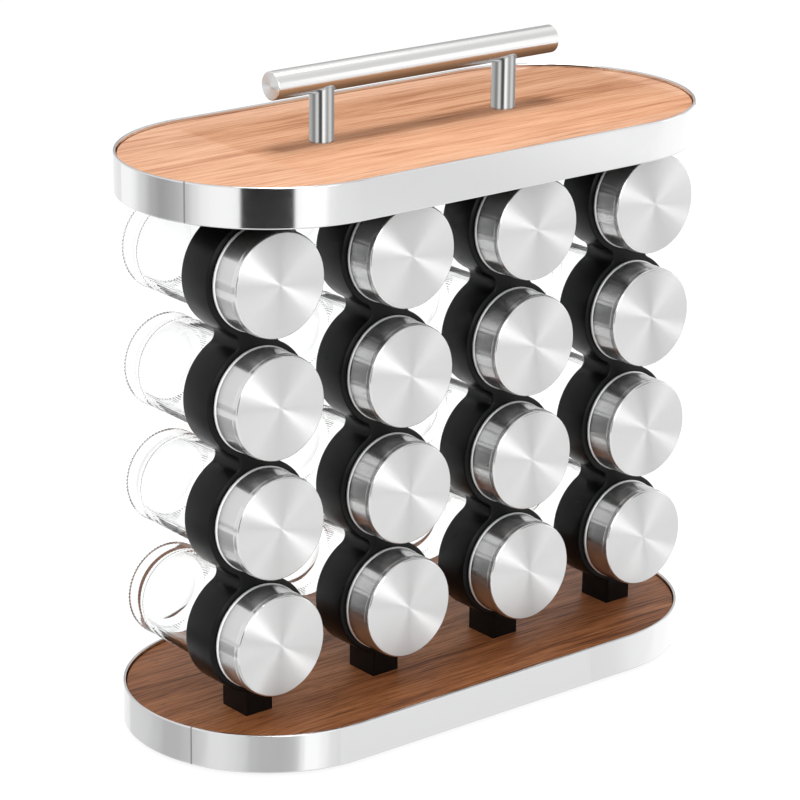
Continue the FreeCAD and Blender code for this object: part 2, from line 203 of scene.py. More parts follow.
def build_wood():
    """Wood grain along X: wavy bands, long streaks, short dark pores and a slow drift of colour."""
    tree, given, out = group(
        "wood grain",
        {"Pale": ("Color", (1, 1, 1, 1)), "Middle": ("Color", (1, 1, 1, 1)), "Dark": ("Color", (0, 0, 0, 1)),
         "Pores": ("Float", 0.4), "Offset": ("Float", 0.0)},
        {"Color": "Color", "Height": "Float", "Roughness": "Float"},
    )
    place = node(tree, "ShaderNodeTexCoord").outputs["Object"]
    moved = node(tree, "ShaderNodeCombineXYZ", {0: given["Offset"], 1: given["Offset"], 2: given["Offset"]})
    shifted = node(tree, "ShaderNodeVectorMath", {0: place, 1: moved.outputs[0]}, operation="ADD").outputs[0]
    sway = node(tree, "ShaderNodeTexNoise", {"Vector": shifted, "Scale": 9.0, "Detail": 2.0}).outputs["Color"]
    sway = node(tree, "ShaderNodeVectorMath", {0: sway, 1: (0.0, 0.007, 0.0), 2: shifted},
                operation="MULTIPLY_ADD").outputs[0]

    def streaks(along, across, detail, distortion=0.0):
        stretched = node(tree, "ShaderNodeVectorMath", {0: sway, 1: (along, across, across)},
                         operation="MULTIPLY")
        return node(tree, "ShaderNodeTexNoise", {
            "Vector": stretched.outputs[0], "Scale": 1.0, "Detail": detail, "Roughness": 0.62,
            "Distortion": distortion}).outputs[0]

    broad = streaks(4.0, 70.0, 3.0, 0.15)
    middle = streaks(11.0, 260.0, 5.0)
    fine = streaks(34.0, 950.0, 4.0)
    pores = streaks(110.0, 1300.0, 2.0)
    mixed = node(tree, "ShaderNodeMath", {0: broad, 1: 0.40}, operation="MULTIPLY").outputs[0]
    mixed = node(tree, "ShaderNodeMath", {0: middle, 1: 0.35, 2: mixed}, operation="MULTIPLY_ADD").outputs[0]
    mixed = node(tree, "ShaderNodeMath", {0: fine, 1: 0.60, 2: mixed}, operation="MULTIPLY_ADD").outputs[0]
    tone = node(tree, "ShaderNodeMapRange", {0: mixed, 1: 0.56, 2: 0.81}).outputs[0]
    low = node(tree, "ShaderNodeMapRange", {0: tone, 1: 0.0, 2: 0.5}).outputs[0]
    high = node(tree, "ShaderNodeMapRange", {0: tone, 1: 0.5, 2: 1.0}).outputs[0]
    pale, dark = given["Pale"], given["Dark"]
    first = node(tree, "ShaderNodeMix", {0: low, 6: pale, 7: given["Middle"]}, data_type="RGBA").outputs[2]
    second = node(tree, "ShaderNodeMix", {0: high, 6: first, 7: dark}, data_type="RGBA").outputs[2]
    pits = node(tree, "ShaderNodeMapRange", {0: pores, 1: 0.58, 2: 0.68}).outputs[0]
    pitted = node(tree, "ShaderNodeMath", {0: pits, 1: given["Pores"]}, operation="MULTIPLY").outputs[0]
    third = node(tree, "ShaderNodeMix", {0: pitted, 6: second, 7: dark}, data_type="RGBA").outputs[2]
    level = node(tree, "ShaderNodeMath", {0: pitted, 1: -1.0, 2: fine}, operation="MULTIPLY_ADD").outputs[0]
    rough = node(tree, "ShaderNodeMapRange", {0: middle, 1: 0.3, 2: 0.7, 3: 0.40, 4: 0.52}).outputs[0]
    for socket, value in (("Color", third), ("Height", level), ("Roughness", rough)):
        tree.links.new(value, out[socket])
    return tree


wood_grain = build_wood()


def laminate(name, pale, middle, dark, pores, offset):
    """Printed wood under a satin film; offset moves along the print, so that no two boards match."""
    made, tree, shader = shade(name, middle, Specular_IOR_Level=0.25)
    grain = use(tree, wood_grain, {
        "Pale": (*pale, 1), "Middle": (*middle, 1), "Dark": (*dark, 1), "Pores": pores, "Offset": offset})
    tree.links.new(grain["Color"], shader.inputs["Base Color"])
    tree.links.new(grain["Roughness"], shader.inputs["Roughness"])
    bump(tree, shader, grain["Height"], 0.00004)
    return made


def finished(name, bm, body, nodes, materials, sharp=35.0):
    """Turns a bmesh into a piece that rides on a body and stands for the frame's nodes."""
    mesh = bpy.data.meshes.new(name)
    bm.to_mesh(mesh)
    bm.free()
    for made in materials:
        mesh.materials.append(made)
    mesh.shade_smooth()
    mesh.set_sharp_from_angle(angle=math.radians(sharp))
    piece = bpy.data.objects.new(name, mesh)
    bpy.context.scene.collection.objects.link(piece)
    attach(piece, body)
    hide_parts(*nodes)
    return piece


def rounded_plate(low, high, ease, steps):
    """An oblong plate with half-round ends, spun from two corners; its long edges are eased."""
    radius = (high.y - low.y) / 2 - panel_gap
    reach = (high.x - low.x) / 2 - panel_gap - radius
    bm = bmesh.new()
    for side in (1, -1):
        start = bm.verts.new((side * reach, -side * radius, low.z))
        bmesh.ops.spin(bm, geom=[start], cent=(side * reach, 0, low.z), axis=(0, 0, 1), angle=math.pi,
                       steps=steps)
    bm.edges.ensure_lookup_table()
    tips = [v for v in bm.verts if len(v.link_edges) == 1]
    for side in (1, -1):
        bm.edges.new([v for v in tips if v.co.y * side > 0])
    floor = bmesh.ops.contextual_create(bm, geom=bm.edges[:])["faces"]
    lifted = bmesh.ops.extrude_face_region(bm, geom=floor)["geom"]
    upper = [v for v in lifted if isinstance(v, bmesh.types.BMVert)]
    bmesh.ops.translate(bm, vec=(0, 0, high.z - low.z), verts=upper)
    bmesh.ops.recalc_face_normals(bm, faces=bm.faces[:])
    rims = [e for e in bm.edges if abs(e.verts[0].co.z - e.verts[1].co.z) < ease]
    bmesh.ops.bevel(bm, geom=rims, offset=ease, offset_type="OFFSET", affect="EDGES", segments=3, profile=0.5,
                    material=-1, clamp_overlap=True)
    return bm


walnut = laminate("walnut laminate",
                  (0.570, 0.232, 0.092), (0.410, 0.146, 0.052), (0.124, 0.038, 0.012), 0.7, 0.0)
oak = laminate("pale oak laminate",
               (0.900, 0.520, 0.320), (0.780, 0.405, 0.236), (0.520, 0.228, 0.115), 0.25, 3.7)
for panel, face, slot in (("base_panel", walnut, "dark_wood"), ("top_panel", oak, "light_wood")):
    bm = rounded_plate(*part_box(panel), panel_ease, panel_steps)
    finished(panel + "_face", bm, "rack", [panel], [face])


# ---- Bands ----
# A strip of polished stainless steel is bent round each board and butt-welded where its ends meet, on the
# front left bend. Both long edges are rolled round, and the weld leaves a fine groove and a slight pinch.

band_wall = 0.0012
band_edge = 0.0005
band_hold = 0.0002  # a line this far from each rounded edge keeps the wall's shading flat
band_steps = 72
band_sharp = 19.5
weld_turn = math.radians(68.0)  # from straight ahead to the left
weld_width = 0.0004
weld_depth = 0.00015
pinch_width = 0.005
pinch_depth = 0.00012


def polished(name, colour, roughness, lines, across, stretch=0.85):
    """Polished steel with hair-fine lines, which spread a reflection along the axis that crosses them."""
    made, tree, shader = shade(name, colour, Metallic=1.0, Anisotropic=stretch)
    place = node(tree, "ShaderNodeTexCoord").outputs["Object"]
    squeezed = tuple(max(part, 0.02) for part in across)
    spaced = node(tree, "ShaderNodeVectorMath", {0: place, 1: squeezed}, operation="MULTIPLY").outputs[0]
    hair = node(tree, "ShaderNodeTexNoise", {"Vector": spaced, "Scale": lines, "Detail": 3.0}).outputs[0]
    marks = use(tree, handling, {"Roughness": roughness, "Amount": 0.05, "Size": 35.0})
    rough = node(tree, "ShaderNodeMath", {0: hair, 1: 0.04, 2: marks["Roughness"]}, operation="MULTIPLY_ADD")
    spread = node(tree, "ShaderNodeVectorTransform", {0: across}, vector_type="VECTOR",
                  convert_from="OBJECT", convert_to="WORLD")
    tree.links.new(rough.outputs[0], shader.inputs["Roughness"])
    tree.links.new(spread.outputs[0], shader.inputs["Tangent"])
    bump(tree, shader, hair, 0.0000008)
    return made


stainless = polished("polished stainless", (0.66, 0.66, 0.665), 0.10, 2200.0, (0.0, 0.0, 1.0), 0.4)
weld_steel = shade("ground weld", (0.32, 0.31, 0.30), Metallic=1.0, Roughness=0.35)[0]


def rounded(corners, segments=5):
    """Points of a line through (x, y, radius) corners, turned smoothly at each corner that has a radius."""
    points = []
    for i, (x, y, radius) in enumerate(corners):
        corner = Vector((x, y, 0))
        if not radius:
            points.append(corner)
            continue
        before = corners[i - 1]
        after = corners[(i + 1) % len(corners)]
        back = (Vector((before[0], before[1], 0)) - corner).normalized()
        ahead = (Vector((after[0], after[1], 0)) - corner).normalized()
        half = back.angle(ahead) / 2
        centre = corner + (back + ahead).normalized() * (radius / math.sin(half))
        start = (corner + back * (radius / math.tan(half)) - centre).normalized()
        end = (corner + ahead * (radius / math.tan(half)) - centre).normalized()
        points += [centre + start.slerp(end, step / segments) * radius for step in range(segments + 1)]
    return points


def band_strip(low, high, steps):
    """The strip's section carried round the oblong: spun round one end, drawn along, spun again."""
    radius = (high.y - low.y) / 2
    reach = (high.x - low.x) / 2 - radius
    inner = radius - band_wall
    hold = band_edge + band_hold
    section = rounded([
        (radius, low.z, band_edge), (radius, low.z + hold, 0),
        (radius, high.z - hold, 0), (radius, high.z, band_edge),
        (inner, high.z, band_edge), (inner, high.z - hold, 0),
        (inner, low.z + hold, 0), (inner, low.z, band_edge)])
    bm = bmesh.new()
    ring = [bm.verts.new((reach, -point.x, point.y)) for point in section]
    loop = [bm.edges.new((ring[i - 1], ring[i])) for i in range(len(ring))]
    turning = loop + ring
    for side in (1, -1):
        turned = bmesh.ops.spin(bm, geom=turning, cent=(side * reach, 0, 0), axis=(0, 0, 1), angle=math.pi,
                                steps=steps, use_merge=False, use_duplicate=False)["geom_last"]
        edges = [e for e in turned if isinstance(e, bmesh.types.BMEdge)]
        drawn = bmesh.ops.extrude_edge_only(bm, edges=edges)["geom"]
        moved = [v for v in drawn if isinstance(v, bmesh.types.BMVert)]
        bmesh.ops.translate(bm, vec=(-side * 2 * reach, 0, 0), verts=moved)
        sides = [e for e in drawn if isinstance(e, bmesh.types.BMEdge)]
        turning = moved + [e for e in sides if all(v in moved for v in e.verts)]
    bmesh.ops.remove_doubles(bm, verts=bm.verts[:], dist=1e-6)
    bmesh.ops.recalc_face_normals(bm, faces=bm.faces[:])
    return bm


def weld(bm, centre, turn, radius):
    """Cuts the butt weld's groove into the outside of a bend and pinches the strip slightly there."""
    along = Vector((-math.cos(turn), math.sin(turn), 0))
    outward = Vector((-math.sin(turn), -math.cos(turn), 0))
    near_weld = radius * 0.9
    for offset in (-1.0, 0.0, 1.0):
        near = [f for f in bm.faces if (f.calc_center_median() - centre).dot(outward) > near_weld]
        geom = near + list({e for f in near for e in f.edges}) + list({v for f in near for v in f.verts})
        bmesh.ops.bisect_plane(bm, geom=geom, dist=1e-7, plane_co=centre + along * offset * weld_width,
                               plane_no=along)
    for vert in bm.verts:
        spot = vert.co - centre
        if spot.dot(outward) < near_weld or spot.to_2d().length < radius - band_wall * 0.6:
            continue
        away = abs(spot.dot(along))
        groove = weld_depth if away < weld_width / 2 else 0
        sunk = pinch_depth * math.exp(-(away / pinch_width) ** 2) + groove
        vert.co -= spot.to_2d().normalized().to_3d() * sunk
    for face in bm.faces:
        spot = face.calc_center_median() - centre
        face.material_index = int(spot.dot(outward) > near_weld and abs(spot.dot(along)) < weld_width)
    return bm


for band in ("base_band", "top_band"):
    low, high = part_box(band)
    bend = Vector((-((high.x - low.x) - (high.y - low.y)) / 2, 0, 0))
    strip = weld(band_strip(low, high, band_steps), bend, weld_turn, (high.y - low.y) / 2)
    finished(band + "_strip", strip, "rack", [band], [stainless, weld_steel], band_sharp)


# ---- Columns ----
# Each column is one injection moulding in black plastic: four collars that run into each other through
# hollow-sided waists, with a square leg at each end. Its edges are well rounded and its faces satin.

collar_edge = 0.0009
collar_wall = 0.0043
waist_radius = 0.004
leg_half = 0.00675
bore_points = 96

black = moulded("satin black moulding", (0.004, 0.004, 0.004), 0.34, 150.0, 0.16)


def collar_centres(column):
    """The collars' axes, read from the jars that they hold."""
    boxes = [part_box(f"jar_{column}_{row}") for row in range(1, 5)]
    return [(low + high) / 2 for low, high in boxes]


def arc(centre, radius, start, end, segments):
    """Points on an arc in a flat drawing, from one angle to another."""
    angles = [start + (end - start) * i / segments for i in range(segments + 1)]
    return [Vector((centre[0] + radius * math.cos(a), centre[1] + radius * math.sin(a), 0)) for a in angles]


def column_side(centres, radius, low, high):
    """The right-hand outline of a column from its foot to its top, about its own middle line."""
    half_pitch = (centres[1].z - centres[0].z) / 2
    reach = radius + waist_radius
    waist_x = math.sqrt(reach ** 2 - half_pitch ** 2)
    tangent = math.asin(half_pitch / reach)
    leg = math.acos(leg_half / radius)
    points = [Vector((leg_half, low, 0))]
    for i, centre in enumerate(centres):
        start = -leg if i == 0 else -tangent
        end = leg if i == len(centres) - 1 else tangent
        points += arc((0, centre.z), radius, start, end, 40)
        if i < len(centres) - 1:
            waist = (waist_x, centre.z + half_pitch)
            points += arc(waist, waist_radius, math.pi + tangent, math.pi - tangent, 10)[1:-1]
    return points + [Vector((leg_half, high, 0))]


def drawn_solid(name, outlines, depth, edge):
    """A flat drawing given thickness and rounded edges, as a mesh still lying flat about its mid-plane."""
    drawing = bpy.data.curves.new(name, "CURVE")
    drawing.dimensions = "2D"
    drawing.fill_mode = "BOTH"
    drawing.extrude = depth / 2 - edge
    drawing.bevel_depth = edge
    drawing.bevel_resolution = 3
    drawing.offset = -edge
    for outline in outlines:
        spline = drawing.splines.new("POLY")
        spline.points.add(len(outline) - 1)
        spline.use_cyclic_u = True
        for spot, place in zip(spline.points, outline):
            spot.co = (*place, 1)
    holder = bpy.data.objects.new(name, drawing)
    bpy.context.scene.collection.objects.link(holder)
    bpy.context.view_layer.update()
    bm = bmesh.new()
    bm.from_mesh(holder.to_mesh())
    bpy.data.objects.remove(holder)
    bpy.data.curves.remove(drawing)
    bmesh.ops.remove_doubles(bm, verts=bm.verts[:], dist=1e-6)
    return bm


for column in range(1, 5):
    low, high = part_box(f"column_{column}")
    centres = collar_centres(column)
    radius = (high.x - low.x) / 2
    side = column_side(centres, radius, low.z, high.z)
    mirrored = [Vector((-point.x, point.y, 0)) for point in reversed(side)]
    last = math.tau * (bore_points - 1) / bore_points
    bores = [arc((0, centre.z), radius - collar_wall, 0, last, bore_points - 1) for centre in centres]
    bm = drawn_solid("column", [side + mirrored] + bores, high.y - low.y, collar_edge)
    place = Matrix.Translation((centres[0].x, (low.y + high.y) / 2, 0))
    bmesh.ops.transform(bm, matrix=place @ Matrix.Rotation(math.pi / 2, 4, "X"), verts=bm.verts[:])
    bmesh.ops.recalc_face_normals(bm, faces=bm.faces[:])
    finished(f"column_{column}_moulding", bm, "rack", [f"column_{column}"], [black], 40.0)


# ---- Jars ----
# Round pressed-glass jars lie in the collars, mouth to the front. Each has a heavy pushed-up foot with a
# knurled heel, straight sides, a short shoulder and a neck with one turn of thread for the cap.

jar_wall = 0.0022
jar_floor = 0.0046
neck_inset = 0.0015
neck_wall = 0.0023
foot_ring = 0.0045
push_up = 0.0014
heel_radius = 0.0030
inner_heel_radius = 0.0085
floor_dish = 0.0004
thread_height = 0.0002
thread_half = 0.0012
thread_top = 0.0005  # half the width of the thread's flat top
thread_place = 0.0036  # from the mouth to the middle of the thread
thread_rise = 0.0032  # how far one turn of thread climbs
knurl_depth = 0.00055
knurl_reach = 0.0036  # how far up the heel the knurling goes
cap_clearance = 0.0019  # from the cap's edge back to where the neck meets the shoulder
jar_steps = 160


def lathe(profile, centre, steps):
    """Turns a profile of (radius, along Y) points about the piece's axis; "turned" notes the way outwards."""
    bm = bmesh.new()
    verts = [bm.verts.new((centre.x + point.x, point.y, centre.z)) for point in profile]
    edges = [bm.edges.new(pair) for pair in zip(verts, verts[1:])]
    bmesh.ops.spin(bm, geom=verts + edges, cent=centre, axis=(0, 1, 0), angle=math.tau, steps=steps,
                   use_merge=True, use_duplicate=False)
    bmesh.ops.remove_doubles(bm, verts=bm.verts[:], dist=1e-6)
    bmesh.ops.recalc_face_normals(bm, faces=bm.faces[:])
    turned = bm.verts.layers.float_vector.new("turned")
    for vert in bm.verts:
        vert[turned] = (vert.co.x - centre.x, 0, vert.co.z - centre.z)
    return bm


def each_step(bm, centre, steps):
    """Gives every point of a turned piece, with its step round the axis and its radius."""
    for vert in bm.verts:
        across, up = vert.co.x - centre.x, vert.co.z - centre.z
        angle = math.atan2(up, across) % math.tau
        yield vert, round(angle / math.tau * steps) % steps, math.hypot(across, up)


def wind(bm, centre, steps, plain, at, rise):
    """Turns a raised ring round a plain cylinder into one turn of thread that fades out at both ends."""
    for vert, step, radius in each_step(bm, centre, steps):
        if abs(vert.co.y - at) > thread_half * 1.01 or abs(radius - plain) > thread_height * 1.2:
            continue
        part = step / steps
        fade = min(1.0, part * 8, (1 - part) * 8)
        away = Vector((vert.co.x - centre.x, 0, vert.co.z - centre.z))
        level = plain + (radius - plain) * fade
        vert.co += away * (level / radius - 1) + Vector((0, rise * (part - 0.5), 0))


def clear_glass():
    """Clear, thin-looking soda glass with a faint ripple from the press."""
    made, tree, shader = shade("clear glass", (0.984, 0.990, 0.987), Roughness=0.0, IOR=1.24,
                               Transmission_Weight=1.0)
    place = node(tree, "ShaderNodeTexCoord").outputs["Object"]
    ripple = node(tree, "ShaderNodeTexNoise", {"Vector": place, "Scale": 70.0, "Detail": 1.0}).outputs[0]
    bump(tree, shader, ripple, 0.00012)
    return made


glass = clear_glass()


def jar_profile(low, high, radius):
    """The glass's section, from the middle of the foot round the outside to the middle of the floor."""
    neck = radius - neck_inset
    mouth = neck - neck_wall
    inside = radius - jar_wall
    shoulder = low.y + neck_length
    body = shoulder + neck_inset
    floor = high.y - jar_floor
    inner_top = body + neck_wall
    thread_at = low.y + thread_place
    return rounded([
        (0, high.y - push_up, 0), (radius - foot_ring * 2, high.y - push_up, 0.008),
        (radius - foot_ring, high.y, 0.0025), (radius, high.y, heel_radius),
        (radius, body, 0.0008), (neck, shoulder, 0.0006),
        (neck, thread_at + thread_half, 0), (neck + thread_height, thread_at + thread_top, 0.0002),
        (neck + thread_height, thread_at - thread_top, 0.0002), (neck, thread_at - thread_half, 0),
        (neck, low.y, 0.0007), (mouth, low.y, 0.0007),
        (mouth, inner_top - (inside - mouth), 0.001), (inside, inner_top, 0.002),
        (inside, floor, inner_heel_radius), (0, floor - floor_dish, 0)])


rim_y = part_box("cap_1_1")[1].y
neck_length = rim_y - cap_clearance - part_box("jar_1_1")[0].y

for column in range(1, 5):
    for row in range(1, 5):
        name = f"jar_{column}_{row}"
        low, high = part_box(name)
        centre = Vector(((low.x + high.x) / 2, 0, (low.z + high.z) / 2))
        outside = (high.x - low.x) / 2
        bm = lathe(jar_profile(low, high, outside), centre, jar_steps)
        wind(bm, centre, jar_steps, outside - neck_inset, low.y + thread_place, thread_rise)
        for vert, step, radius in each_step(bm, centre, jar_steps):
            if step % 2 and vert.co.y > high.y - knurl_reach and outside - heel_radius < radius:
                vert.co += (Vector((centre.x, vert.co.y, centre.z)) - vert.co).normalized() * knurl_depth
        jar = finished(name + "_glass", bm, name, [name], [glass], 60.0)
        jar.visible_shadow = False  # clear glass lets the light through


# ---- Caps ----
# Each cap is a drawn steel shell with a rolled edge, its face spun in fine rings and its side polished,
# pressed over a black plastic liner that screws onto the jar. The rolled edge and its slope take a paler
# steel than the side, a painted highlight line.

shell_wall = 0.0006
cap_bead = 0.0004  # how far the rolled edge stands out
bead_start = 0.0014  # from the edge to where the roll starts to stand out
bead_top = 0.0009
rim_depth = 0.0016  # the roll and its slope, which are given a paler steel as a painted highlight line
face_step = 0.0002
face_step_place = 0.0022
face_step_slope = 0.0004
face_depth = 0.0001
liner_gap = 0.00005
liner_wall = 0.0023
liner_disc = 0.0014
liner_set_back = 0.0024
cap_steps = 96
liner_steps = 48


def spun_face():
    """Steel faced on a lathe: rings too fine to see, which spread the light into a bow tie."""
    made, tree, shader = shade("spun steel", (0.69, 0.69, 0.69), Metallic=1.0, Anisotropic=0.95)
    turned = node(tree, "ShaderNodeAttribute", attribute_name="turned").outputs["Vector"]
    outward = node(tree, "ShaderNodeVectorMath", {0: turned}, operation="NORMALIZE").outputs[0]
    tangent = node(tree, "ShaderNodeVectorTransform", {0: outward}, vector_type="VECTOR",
                   convert_from="OBJECT", convert_to="WORLD").outputs[0]
    tree.links.new(tangent, shader.inputs["Tangent"])
    radius = node(tree, "ShaderNodeVectorMath", {0: turned}, operation="LENGTH").outputs["Value"]
    rings = node(tree, "ShaderNodeTexNoise", {"W": radius, "Scale": 3800.0, "Detail": 3.0},
                 noise_dimensions="1D")
    marks = use(tree, handling, {"Roughness": 0.33, "Amount": 0.06, "Size": 60.0})
    rough = node(tree, "ShaderNodeMath", {0: rings.outputs[0], 1: 0.12, 2: marks["Roughness"]},
                 operation="MULTIPLY_ADD").outputs[0]
    tree.links.new(rough, shader.inputs["Roughness"])
    bump(tree, shader, rings.outputs[0], 0.000003)
    return made


spun = spun_face()
cap_side = polished("polished cap side", (0.66, 0.66, 0.66), 0.20, 2600.0, (0.0, 1.0, 0.0), 1.0)
# a paler copy of the cap's steel: a painted highlight line along the rolled edge
rim_highlight_steel = shade("rolled rim painted highlight", (0.96, 0.96, 0.96), Metallic=1.0, Roughness=0.6)[0]
liner_black = moulded("liner plastic", (0.03, 0.03, 0.03), 0.5, 150.0)


def shell_profile(low, high, radius):
    """The drawn shell: flat face, rounded shoulder, straight side and an edge rolled over its liner."""
    side = radius - cap_bead
    inner = side - shell_wall
    front = side - face_step
    step = low.y + face_step_place
    return rounded([
        (0, low.y, 0), (front, low.y, 0.0010), (front, step, 0), (side, step + face_step_slope, 0.0002),
        (side, high.y - bead_start, 0.0003), (radius, high.y - bead_top, 0.0004), (radius, high.y, 0.0004),
        (inner, high.y, 0.0002), (inner, low.y + shell_wall, 0.0005), (0, low.y + shell_wall, 0)])


def liner_profile(low, high, radius):
    """The moulded liner: a disc over the jar's mouth and a skirt inside the shell."""
    outer = radius - cap_bead - shell_wall - liner_gap
    bore = outer - liner_wall
    top = low.y + shell_wall + liner_gap
    edge = high.y - liner_set_back
    return rounded([
        (0, top, 0), (outer, top, 0.0006), (outer, edge, 0.0003), (bore, edge, 0.0004),
        (bore, top + liner_disc, 0.0002), (0, top + liner_disc, 0)])


for column in range(1, 5):
    for row in range(1, 5):
        name = f"cap_{column}_{row}"
        low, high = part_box(name)
        middle = (low + high) / 2
        centre = Vector((middle.x, 0, middle.z))
        radius = (high.x - low.x) / 2
        bm = lathe(shell_profile(low, high, radius), centre, cap_steps)
        for face in bm.faces:
            spot = face.calc_center_median()
            # faces on the roll and its slope take the paler steel, a painted highlight
            edge = 2 if spot.y > high.y - rim_depth else 1
            face.material_index = 0 if spot.y < low.y + face_depth else edge
        finished(name + "_shell", bm, name, [name], [spun, cap_side, rim_highlight_steel], 30.0)
        bm = lathe(liner_profile(low, high, radius), centre, liner_steps)
        finished(name + "_liner", bm, name, [name], [liner_black], 35.0)


# ---- Handle ----
# A satin T-bar handle: a ground steel bar with eased ends on two round posts, screwed up through the board.

bar_ease = 0.0006
bar_end_depth = 0.00005

bar_steel = polished("ground bar steel", (0.74, 0.735, 0.73), 0.20, 2600.0, (1.0, 0.0, 0.0))
post_steel = polished("ground post steel", (0.74, 0.735, 0.73), 0.24, 2600.0, (0.0, 0.0, 1.0), 1.0)
for post in ("handle_post_left", "handle_post_right"):
    finish_node(post, post_steel)
low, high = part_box("handle_bar")
middle = (low + high) / 2
half_length = (high.x - low.x) / 2
thick = (high.z - low.z) / 2
bm = lathe(rounded([(0, -half_length, 0), (thick, -half_length, bar_ease), (thick, half_length, bar_ease),
                    (0, half_length, 0)]), Vector((0, 0, 0)), 64)
for face in bm.faces:
    face.material_index = int(abs(face.calc_center_median().y) > half_length - bar_end_depth)
laid = Matrix.Translation(middle) @ Matrix.Rotation(math.pi / 2, 4, "Z")
bmesh.ops.transform(bm, matrix=laid, verts=bm.verts[:])
bmesh.ops.recalc_face_normals(bm, faces=bm.faces[:])
turned = bm.verts.layers.float_vector["turned"]
for vert in bm.verts:
    vert[turned] = (0, vert.co.y - middle.y, vert.co.z - middle.z)
finished("handle_bar_rod", bm, "rack", ["handle_bar"], [bar_steel, spun], 30.0)


# ---- Studio ----
# The rack stands on white paper under a soft overhead lamp, with a weaker one in front. The steel's
# reflections are painted with glowing cards that nothing else sees and that light nothing, laid out for
# the main view: upright flags and highlight cards, shaded sheets low down on the floor for the bands, a
# striped sleeve round each handle post and a brown sheet over the top panel that paints the shaded oak
# into the bar's underside.

paper_glow = 1.36
card_lift = 0.0014  # the lying sheets' heights over the floor, so that they don't share a plane
near_shade_height = 0.0012
far_shade_height = 0.0010
front_turn = -39.0  # the turn from straight ahead that the sleeves' stripes are laid out for
shade_turn = 2.044  # how much faster a reflected line turns than the bend that it meets
shade_start = 38.3  # where that line points when the bend faces straight ahead
sleeve_gap = 0.0006
sleeve_foot = 0.0002
sleeve_overlap = 0.0030  # how far a sleeve reaches into the bar
handle_shade_lift = 0.0004


def straight(tree):
    """1 for a line of sight, direct or by way of metal or glass, and 0 for the light that falls on things."""
    path = node(tree, "ShaderNodeLightPath").outputs
    seen = node(tree, "ShaderNodeMath", {0: path["Is Camera Ray"], 1: path["Is Glossy Ray"]},
                operation="MAXIMUM").outputs[0]
    return node(tree, "ShaderNodeMath", {0: seen, 1: path["Is Transmission Ray"]},
                operation="MAXIMUM").outputs[0]


def lit_paper(name, colour, share):
    """White paper that lights itself for the camera, metal and glass, and still takes a soft shadow."""
    made, tree, shader = shade(name, colour, Roughness=0.9, Specular_IOR_Level=0.0)
    own = node(tree, "ShaderNodeMath", {0: straight(tree), 1: share}, operation="MULTIPLY").outputs[0]
    white = node(tree, "ShaderNodeEmission",
                 {"Color": (1.0, 1.0, 1.0, 1.0), "Strength": paper_glow}).outputs[0]
    mixed = node(tree, "ShaderNodeMixShader", {0: own, 1: shader.outputs[0], 2: white}).outputs[0]
    tree.links.new(mixed, tree.nodes["Material Output"].inputs["Surface"])
    return made


def stage_sheet(name, size, place, made):
    """A flat sheet of the studio, which isn't part of the rack."""
    mesh = bpy.data.meshes.new(name)
    bm = bmesh.new()
    bmesh.ops.create_grid(bm, x_segments=1, y_segments=1, size=0.5)
    bmesh.ops.scale(bm, vec=(*size, 1.0), verts=bm.verts[:])
    bmesh.ops.transform(bm, matrix=place, verts=bm.verts[:])
    bm.to_mesh(mesh)
    bm.free()
    mesh.materials.append(made)
    sheet = bpy.data.objects.new(name, mesh)
    bpy.context.scene.collection.objects.link(sheet)
    return sheet


def card(name, size, place, level, colour=(1.0, 1.0, 1.0)):
    """A card that only shiny pieces see; level is its brightness."""
    made = bpy.data.materials.new(name)
    made.use_nodes = True
    made.node_tree.nodes.clear()
    paint = node(made.node_tree, "ShaderNodeEmission", {"Color": (*colour, 1.0), "Strength": level})
    end = node(made.node_tree, "ShaderNodeOutputMaterial")
    made.node_tree.links.new(paint.outputs[0], end.inputs["Surface"])
    sheet = stage_sheet(name, size, place, made)
    for way in ("camera", "diffuse", "transmission", "volume_scatter", "shadow"):
        setattr(sheet, "visible_" + way, False)
    return sheet


def upright(name, turns, distance, heights, level):
    """A card that stands between two turns from straight ahead."""
    first, last = (math.radians(turn) for turn in turns)
    width = 2 * distance * math.tan(abs(last - first) / 2)
    place = (Matrix.Rotation((first + last) / 2, 4, "Z")
             @ Matrix.Translation((0, -distance, sum(heights) / 2))
             @ Matrix.Rotation(math.pi / 2, 4, "X"))
    card(name, (width, heights[1] - heights[0]), place, level)


def lying(name, first, last, width, level):
    """A card that lies just above the floor, from one (x, y) place to another."""
    start, end = Vector((*first, card_lift)), Vector((*last, card_lift))
    place = (Matrix.Translation((start + end) / 2)
             @ Matrix.Rotation(math.atan2(end.y - start.y, end.x - start.x), 4, "Z"))
    card(name, ((end - start).length, width), place, level)


def shaded_card(name, rungs, colour=(1.0, 1.0, 1.0)):
    """A card laid out like a ladder: each rung is two points and the brightness between them."""
    sheet = card(name, (1.0, 1.0), Matrix.Identity(4), 1.0, colour)
    bm = bmesh.new()
    shade_of = bm.verts.layers.float.new("level")
    before = None
    for first, last, level in rungs:
        pair = [bm.verts.new(first), bm.verts.new(last)]
        for vert in pair:
            vert[shade_of] = level
        if before:
            bm.faces.new((before[0], before[1], pair[1], pair[0]))
        before = pair
    bm.to_mesh(sheet.data)
    bm.free()
    tree = sheet.data.materials[0].node_tree
    level = node(tree, "ShaderNodeAttribute", attribute_name="level").outputs["Fac"]
    tree.links.new(level, tree.nodes["Emission"].inputs["Strength"])


def shaded_floor(name, reach, height, shades):
    """Glowing floor sheets that paint the reflections of the bands' left bend in light and dark stripes;
    each shade is given at the turn of the bend where it shows.
    """
    rungs = []
    for turn, level in shades:
        out, away = math.radians(turn), math.radians(shade_turn * turn + shade_start)
        start = bend + Vector((math.sin(out), -math.cos(out), 0)) * band_bend + Vector((0, 0, height))
        ahead = Vector((math.sin(away), -math.cos(away), 0))
        rungs.append((start + ahead * reach[0], start + ahead * reach[1], level))
    shaded_card(name, rungs)


